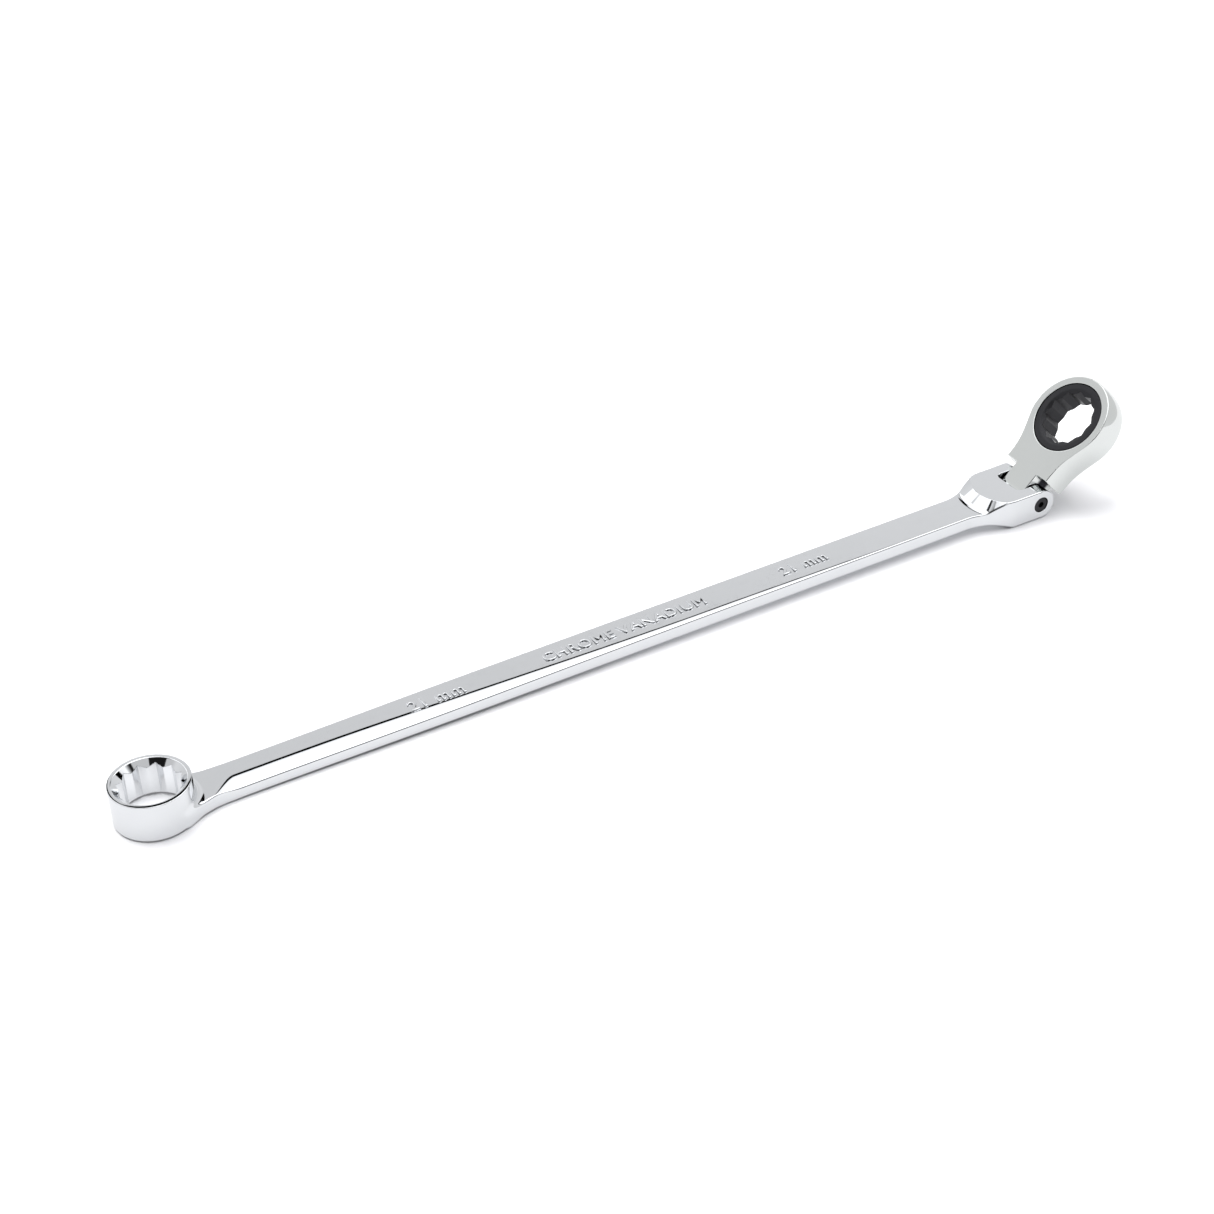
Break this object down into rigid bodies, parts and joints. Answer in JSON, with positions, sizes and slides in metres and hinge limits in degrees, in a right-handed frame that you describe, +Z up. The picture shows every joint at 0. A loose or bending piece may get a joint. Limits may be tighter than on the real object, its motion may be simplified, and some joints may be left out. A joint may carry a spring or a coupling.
{
  "type": "flex-head double-box ratcheting wrench",
  "caption": "Extra-long chrome box wrench with a fixed 12-point ring at one end and a 12-point ratcheting ring on a flexing head at the other.",
  "frame": {"origin": "on the flat band under the fixed ring, at its heel, 13.3 mm from the ring's own axis", "axes": "+X along the handle from the fixed ring towards the flexing head, +Y across the handle along the flex hinge, +Z up out of the face that carries the size marks"},
  "size_m": [0.4458, 0.039, 0.0483],
  "materials": {
    "handle_chrome": "mirror-bright chrome plating over polished forged steel",
    "head_chrome": "bright chrome plating, flat faces slightly softer than the rims",
    "black_steel": "black phosphate, satin, lightly oiled",
    "spring_steel": "plain spring steel",
    "pawl_steel": "hardened steel, ground"
  },
  "bodies": {
    "handle": {"handle": "handle_chrome", "hinge_screw": "black_steel"},
    "head": {"head": "head_chrome", "snap_ring": "spring_steel", "pawl_spring": "spring_steel", "friction_washer_near": "spring_steel", "friction_washer_far": "spring_steel"},
    "gear": {"ratchet_gear": "black_steel"},
    "pawl": {"pawl": "pawl_steel"}
  },
  "joints": [
    {"name": "head_flex", "type": "hinge", "parent": "handle", "child": "head", "pos_m": [0.3998, 0, 0.0041], "axis": [0, -1, 0], "range_deg": [-133.2, 46.8]},
    {"name": "gear_spin", "type": "hinge", "parent": "head", "child": "gear", "pos_m": [0.42568, 0, 0.0284], "axis": [-0.6845, 0, 0.729], "continuous": true},
    {"name": "pawl_slide", "type": "slide", "parent": "head", "child": "pawl", "axis": [-0.729, 0, -0.6845], "range_m": [0, 0.0011], "stiffness_N_per_m": 800, "springref_m": -0.0015}
  ]
}
